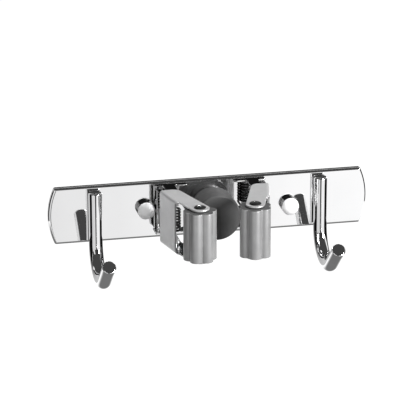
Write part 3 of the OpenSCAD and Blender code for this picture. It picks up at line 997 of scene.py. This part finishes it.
# The chrome cap is painted in two tones: a dark cup as painted reflection and a white dome as painted
# highlight
def cup(name, place):
    bm = bmesh.new()
    r = CAP_RADIUS
    profile = [(CUP_HOLE, CUP_SEAT), (r - CUP_FOOT_EDGE, CUP_SEAT), (r, CUP_FOOT_EDGE)]
    profile += [(r, CUP_HEIGHT - CUP_TOP_EDGE), (r - CUP_TOP_EDGE, CUP_HEIGHT), (r - CUP_WALL, CUP_HEIGHT)]
    profile += [(r - CUP_WALL, CUP_FLOOR), (CUP_HOLE, CUP_FLOOR), (CUP_HOLE, CUP_SEAT)]
    lathe(bm, profile, place, CAP_SEGMENTS)
    bmesh.ops.remove_doubles(bm, verts=bm.verts, dist=WELD)
    piece(name + "_cup", bm, "cap_cup", "rack", name + "_cap_base")


def dome(name, place):
    bm = bmesh.new()
    r = CAP_RADIUS
    rim = CUP_HEIGHT + GROOVE
    plug = CUP_HEIGHT - PLUG_DEPTH
    profile = [(0, plug), (r - PLUG_INSET, plug), (r - PLUG_TOP_INSET, CUP_HEIGHT)]
    profile += [(r - GROOVE, CUP_HEIGHT), (r - GROOVE, rim), (r - RIM_EDGE, rim)]
    profile += [(r, rim + RIM_EDGE), (r, rim + RIM_HEIGHT), (r - RIM_TOP_INSET, rim + RIM_TOP_HEIGHT)]
    ball = (r ** 2 + DOME_HEIGHT ** 2) / (2 * DOME_HEIGHT)
    ball_middle = rim + DOME_START + DOME_HEIGHT - ball
    widest = math.asin(r / ball)
    for k in range(1, DOME_STEPS + 1):
        a = widest * (1 - k / DOME_STEPS) * DOME_SHARE
        profile.append((ball * math.sin(a), ball_middle + ball * math.cos(a)))
    lathe(bm, profile, place, CAP_SEGMENTS)
    piece(name + "_dome", bm, "cap_dome", "rack", name + "_cap")


for name, spot in (("left", LEFT_SCREW), ("right", RIGHT_SCREW)):
    cup(name, out_of_wall(*spot))
    dome(name, out_of_wall(*spot))


# Wall screws: head, neck and a thread that runs out at the point

# Radius and height over the cup's floor, from the head's middle to the end of the neck
SCREW_HEAD = ((0, 2.4), (3.4, 2.4), (4.0, 2.0), (4.0, 0.02), (1.5, 0.02), (1.5, -5.4))
SCREW_SEGMENTS = 40
SCREW_SHARP = 60
THREAD_TOP = -5.3
THREAD_END = -29.9
THREAD_PITCH = 1.7
THREAD_SIDES = 24
THREAD_ROWS = 16
RUN_IN = 1.2
POINT_LENGTH = 6.0
POINT_RADIUS = 0.16
CORE_SWELL = 1.26
RIDGE_HEIGHT = 0.56
POINT_RIDGE_HEIGHT = 0.4
RIDGE_HALF_SHARE = 0.22


def thread_radius(angle, height):
    """The thread's radius, which grows from the point and starts softly at the neck."""
    full = min(1.0, (height - THREAD_END) / POINT_LENGTH)
    start = min(1.0, (THREAD_TOP - height) / RUN_IN)
    phase = (height / THREAD_PITCH + angle / (2 * math.pi)) % 1.0
    ridge = max(0.0, 1 - abs(phase - 0.5) / RIDGE_HALF_SHARE)
    ridge *= RIDGE_HEIGHT * start if full >= 1 else POINT_RIDGE_HEIGHT * full
    return POINT_RADIUS + CORE_SWELL * full + ridge


def wall_screw(name, x, z):
    bm = bmesh.new()
    place = out_of_wall(x, z) @ Matrix.Translation((0, 0, CUP_FLOOR))
    lathe(bm, SCREW_HEAD, place, SCREW_SEGMENTS)
    rings = []
    count = int((THREAD_TOP - THREAD_END) / THREAD_PITCH * THREAD_ROWS)
    for i in range(count + 1):
        h = THREAD_TOP + (THREAD_END - THREAD_TOP) * i / count
        ring = []
        for a in ring_of(THREAD_SIDES):
            r = thread_radius(a, h)
            ring.append(place @ Vector((r * math.cos(a), r * math.sin(a), h)))
        rings.append(ring)
    loft(bm, rings)
    piece(name + "_screw_thread", bm, "plated_steel", "rack", name + "_wall_screw", sharp=SCREW_SHARP)


wall_screw("left", *LEFT_SCREW)
wall_screw("right", *RIGHT_SCREW)


# Springs: round wire, anchored in the bracket below, with the upper leg reaching to the arm above

STEPS_PER_TURN = 28
LAST_HALF_TURN_STEPS = 13
COIL_STEPS = STEPS_PER_TURN * SPRING_TURNS + LAST_HALF_TURN_STEPS
WIRE_SIDES = 14
WIRE_SHARP = 60
WIRE_END_SHARE = 0.82
LEG_STEPS = 4
LOW_LEG_START = 0.2
LOW_LEG_LENGTH = 23.0
HIGH_LEG_LENGTH = 6.0


def spring_path():
    """Points along the wire: the lower leg, the coil and the upper leg."""
    path = []
    for k in range(LEG_STEPS):
        y = -LOW_LEG_START - LOW_LEG_LENGTH * k / LEG_STEPS
        path.append(Vector((SPRING_RADIUS - HINGE_X, y, -SPRING_HEIGHT / 2)))
    for k in range(COIL_STEPS + 1):
        a = -SPRING_SWEEP * k / COIL_STEPS
        x = SPRING_RADIUS * math.cos(a) - HINGE_X
        y = SPRING_RADIUS * math.sin(a) - HINGE_REACH
        path.append(Vector((x, y, SPRING_HEIGHT * k / COIL_STEPS - SPRING_HEIGHT / 2)))
    coil_end = path[-1]
    heading = Vector((-math.sin(LEAN), math.cos(LEAN), 0))
    for k in range(1, LEG_STEPS + 1):
        path.append(coil_end + heading * HIGH_LEG_LENGTH * k / LEG_STEPS)
    return path


def spring(name, side):
    bm = bmesh.new()
    place = at_clip(side)
    path = spring_path()
    last = len(path) - 1
    rings = []
    for i, p in enumerate(path):
        ahead = (path[min(i + 1, last)] - path[max(i - 1, 0)]).normalized()
        across = ahead.cross(Vector((0, 0, 1))).normalized()
        above = across.cross(ahead)
        r = WIRE_RADIUS * WIRE_END_SHARE if i in (0, last) else WIRE_RADIUS
        sides = [math.cos(a) * across + math.sin(a) * above for a in ring_of(WIRE_SIDES)]
        rings.append([place @ (p + r * outwards) for outwards in sides])
    loft(bm, rings)
    # the wire is painted near black as shade inside the bracket
    obj = finish_mesh(name + "_coil", bm, "spring_steel", WIRE_SHARP)
    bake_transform(obj)
    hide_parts(name + "_spring")


for name, side in SIDES:
    spring(name, side)


# Every solid takes the finish that its record names, and the inner pieces show it

for entry in frame["record"]["subparts"]:
    node = frame["nodes"][entry["node"]]
    node.data.materials.clear()
    node.data.materials.append(MATERIALS[entry["material_slot"]])


# Stage, in metres: a pale floor well below the rack, soft light, and cards that only mirrors show

FLOOR_Z = -1.0
FLOOR_HALF = 15.0
FLOOR_SEEN = 0.95
FLOOR_LIT = 0.3
POOL_LIFT = 0.002
RING_RADIUS = 2.4
RING_LOW = -0.99
RING_HIGH = 0.4
RING_STEPS = 120
DARK = 0.005
# Angle from the front in degrees, to the right, and the tone there
RING_TONES = (
    (-180, 0.6), (-150, 0.5), (-125, DARK), (-69, DARK),
    (-64, 0.75), (-46, 0.7), (-17, 0.8), (-13, DARK),
    (3, DARK), (5.5, 0.78), (9, 0.86), (18, 1.0), (57, 1.0), (64, DARK),
    (125, DARK), (150, 0.5), (180, 0.6),
)


def stage_mesh(name, corners, faces, material):
    mesh = bpy.data.meshes.new(name)
    mesh.from_pydata(corners, [], faces)
    mesh.materials.append(material)
    obj = bpy.data.objects.new(name, mesh)
    bpy.context.scene.collection.objects.link(obj)
    return obj


def stage_rectangle(name, corner, along, up, material):
    """A rectangle from one corner and two of its sides."""
    corner = Vector(corner)
    along = Vector(along)
    up = Vector(up)
    corners = (corner, corner + along, corner + along + up, corner + up)
    return stage_mesh(name, [tuple(p) for p in corners], [(0, 1, 2, 3)], material)


def in_mirrors_only(obj):
    obj.visible_camera = False
    obj.visible_shadow = False
    obj.visible_diffuse = False


def seen_or_mirrored(nodes):
    """One for a ray from the camera, or one that a mirror or glass sends on."""
    rays = nodes.add("ShaderNodeLightPath").outputs
    seen = nodes.larger(rays["Is Camera Ray"], rays["Is Glossy Ray"])
    return nodes.larger(seen, rays["Is Transmission Ray"])


def floor_material():
    """Pale where it is seen, matt so that it keeps the shadow, and clear from below."""
    material, nodes = new_material("floor")
    glow = nodes.tinted("ShaderNodeEmission", FLOOR_SEEN)
    nodes.put(glow, "Strength", seen_or_mirrored(nodes))
    matt = nodes.tinted("ShaderNodeBsdfDiffuse", FLOOR_LIT)
    top = nodes.add("ShaderNodeAddShader")
    nodes.put(top, 0, matt.outputs[0])
    nodes.put(top, 1, glow.outputs[0])
    from_below = nodes.add("ShaderNodeNewGeometry").outputs["Backfacing"]
    nodes.show(nodes.mix_shaders(from_below, top, nodes.add("ShaderNodeBsdfTransparent")))
    return material


def card_material(name, tone, fade=None):
    """One grey tone, which may fade out between two distances from its middle."""
    material, nodes = new_material(name)
    glow = nodes.tinted("ShaderNodeEmission", tone)
    if fade is None:
        nodes.show(glow)
        return material
    length = nodes.add("ShaderNodeVectorMath", operation="LENGTH")
    nodes.put(length, 0, nodes.place())
    far = nodes.add("ShaderNodeMapRange", interpolation_type="SMOOTHSTEP")
    near_end, far_end = fade
    nodes.put(far, "Value", length.outputs["Value"])
    nodes.put(far, "From Min", near_end)
    nodes.put(far, "From Max", far_end)
    nodes.show(nodes.mix_shaders(far.outputs["Result"], glow, nodes.add("ShaderNodeBsdfTransparent")))
    return material


def card(name, corner, along, up, tone):
    """A card of one grey tone that shows in mirrors only."""
    in_mirrors_only(stage_rectangle(name, corner, along, up, card_material(name, tone)))


def pool(name, x, y, half, tone, fade):
    """A soft round patch of a darker tone on the floor, which shows in mirrors only; under the rack it is
    a painted shadow.
    """
    material = card_material(name, tone, fade)
    obj = stage_rectangle(name, (-half, -half, 0), (2 * half, 0, 0), (0, 2 * half, 0), material)
    obj.location = (x, y, FLOOR_Z + POOL_LIFT)
    in_mirrors_only(obj)


def ring_material():
    """Greys that run round the rack, by the angle counted from the front."""
    material, nodes = new_material("ring")
    turned = nodes.add("ShaderNodeMapping")
    nodes.put(turned, "Rotation", (0, 0, math.pi / 2))
    nodes.put(turned, "Vector", nodes.place())
    round_about = nodes.add("ShaderNodeTexGradient", gradient_type="RADIAL")
    nodes.put(round_about, "Vector", turned.outputs["Vector"])
    tones = nodes.add("ShaderNodeValToRGB")
    nodes.put(tones, "Fac", round_about.outputs["Fac"])
    marks = tones.color_ramp.elements
    while len(marks) < len(RING_TONES):
        marks.new(0.5)
    for mark, (angle, tone) in zip(marks, RING_TONES):
        mark.position = 0.5 + angle / 360
        mark.color = even_grey(tone)
    glow = nodes.add("ShaderNodeEmission")
    nodes.put(glow, "Color", tones.outputs["Color"])
    nodes.show(glow)
    return material


def ring():
    """An upright ring of greys round the rack, which shows in mirrors only."""
    corners = []
    faces = []
    for k, a in enumerate(ring_of(RING_STEPS)):
        x = RING_RADIUS * math.sin(a)
        y = -RING_RADIUS * math.cos(a)
        corners += [(x, y, RING_LOW), (x, y, RING_HIGH)]
        i = 2 * k
        j = 2 * ((k + 1) % RING_STEPS)
        faces.append((i, i + 1, j + 1, j))
    in_mirrors_only(stage_mesh("ring", corners, faces, ring_material()))


floor_corner = (-FLOOR_HALF, -FLOOR_HALF, FLOOR_Z)
stage_rectangle("floor", floor_corner, (2 * FLOOR_HALF, 0, 0), (0, 2 * FLOOR_HALF, 0), floor_material())
ring()
card("card_front", corner=(-1.6, -2.4, 0.4), along=(3.8, 0, 0), up=(0, 0, 1.4), tone=0.045)
card("card_top", corner=(-1.8, -1.4, 0.9), along=(3.6, 0, 0), up=(0, 2.3, 0), tone=0.06)
card("card_back", corner=(-1.2, 0.9, 0.2), along=(2.6, 0, 0), up=(0, 0, 0.34), tone=0.008)
card("card_up_left", corner=(-1.8, -1.6, 0.35), along=(0, 2.5, 0), up=(0, 0, 0.95), tone=0.06)
# a painted shadow of the rack on the floor, seen in mirrors only
pool("painted_shadow_pool", x=-0.3, y=-0.3, half=2.4, tone=0.18, fade=(1.2, 2.2))
pool("pool_right", x=1.0, y=1.5, half=1.2, tone=0.03, fade=(0.4, 1.0))


# World and lamps

WORLD_SEEN = 1
WORLD_LIT = 0.28
LAMP_TARGET = Vector((0, -0.03, 0))


def world():
    """White where it is seen or mirrored, and a soft grey light elsewhere."""
    studio = bpy.data.worlds.new("studio")
    bpy.context.scene.world = studio
    studio.use_nodes = True
    studio.node_tree.nodes.clear()
    nodes = Nodes(studio.node_tree)
    soft = nodes.tinted("ShaderNodeBackground", WORLD_LIT)
    seen = nodes.tinted("ShaderNodeBackground", WORLD_SEEN)
    nodes.show(nodes.mix_shaders(seen_or_mirrored(nodes), soft, seen), "ShaderNodeOutputWorld")


def softbox(name, at, size, watts, mirrored):
    lamp = bpy.data.lights.new(name, "AREA")
    lamp.energy = watts
    lamp.size = size
    obj = bpy.data.objects.new(name, lamp)
    obj.location = at
    obj.rotation_mode = "QUATERNION"
    obj.rotation_quaternion = (LAMP_TARGET - Vector(at)).to_track_quat("-Z", "Y")
    bpy.context.scene.collection.objects.link(obj)
    obj.visible_camera = False
    obj.visible_glossy = mirrored


world()
softbox("key", at=(0.95, -1.1, 0.45), size=0.45, watts=37, mirrored=True)
softbox("left", at=(-0.6, -1.1, 0.6), size=0.5, watts=6, mirrored=False)
softbox("top", at=(0.5, 0.4, 1.0), size=0.6, watts=20, mirrored=False)


# Camera, fitted to the photograph: 2 m away, looking down and from the left

PHOTO_PIXELS = 416
FOCAL_PIXELS = 2820
SENSOR_WIDTH = 36.0
AZIMUTH = math.radians(-12.26)
ELEVATION = math.radians(19.45)
CAMERA_DISTANCE = 2.0
CAMERA_TARGET = Vector((0.00013, 0, -0.00292))


def camera():
    lens = bpy.data.cameras.new("camera")
    lens.sensor_width = SENSOR_WIDTH
    lens.lens = SENSOR_WIDTH * FOCAL_PIXELS / PHOTO_PIXELS
    obj = bpy.data.objects.new("camera", lens)
    bpy.context.scene.collection.objects.link(obj)
    level = math.cos(ELEVATION)
    back = Vector((math.sin(AZIMUTH) * level, -math.cos(AZIMUTH) * level, math.sin(ELEVATION)))
    obj.location = CAMERA_TARGET + CAMERA_DISTANCE * back
    obj.rotation_mode = "QUATERNION"
    obj.rotation_quaternion = (-back).to_track_quat("-Z", "Y")
    bpy.context.scene.camera = obj


camera()

bpy.context.scene.view_settings.view_transform = "Standard"
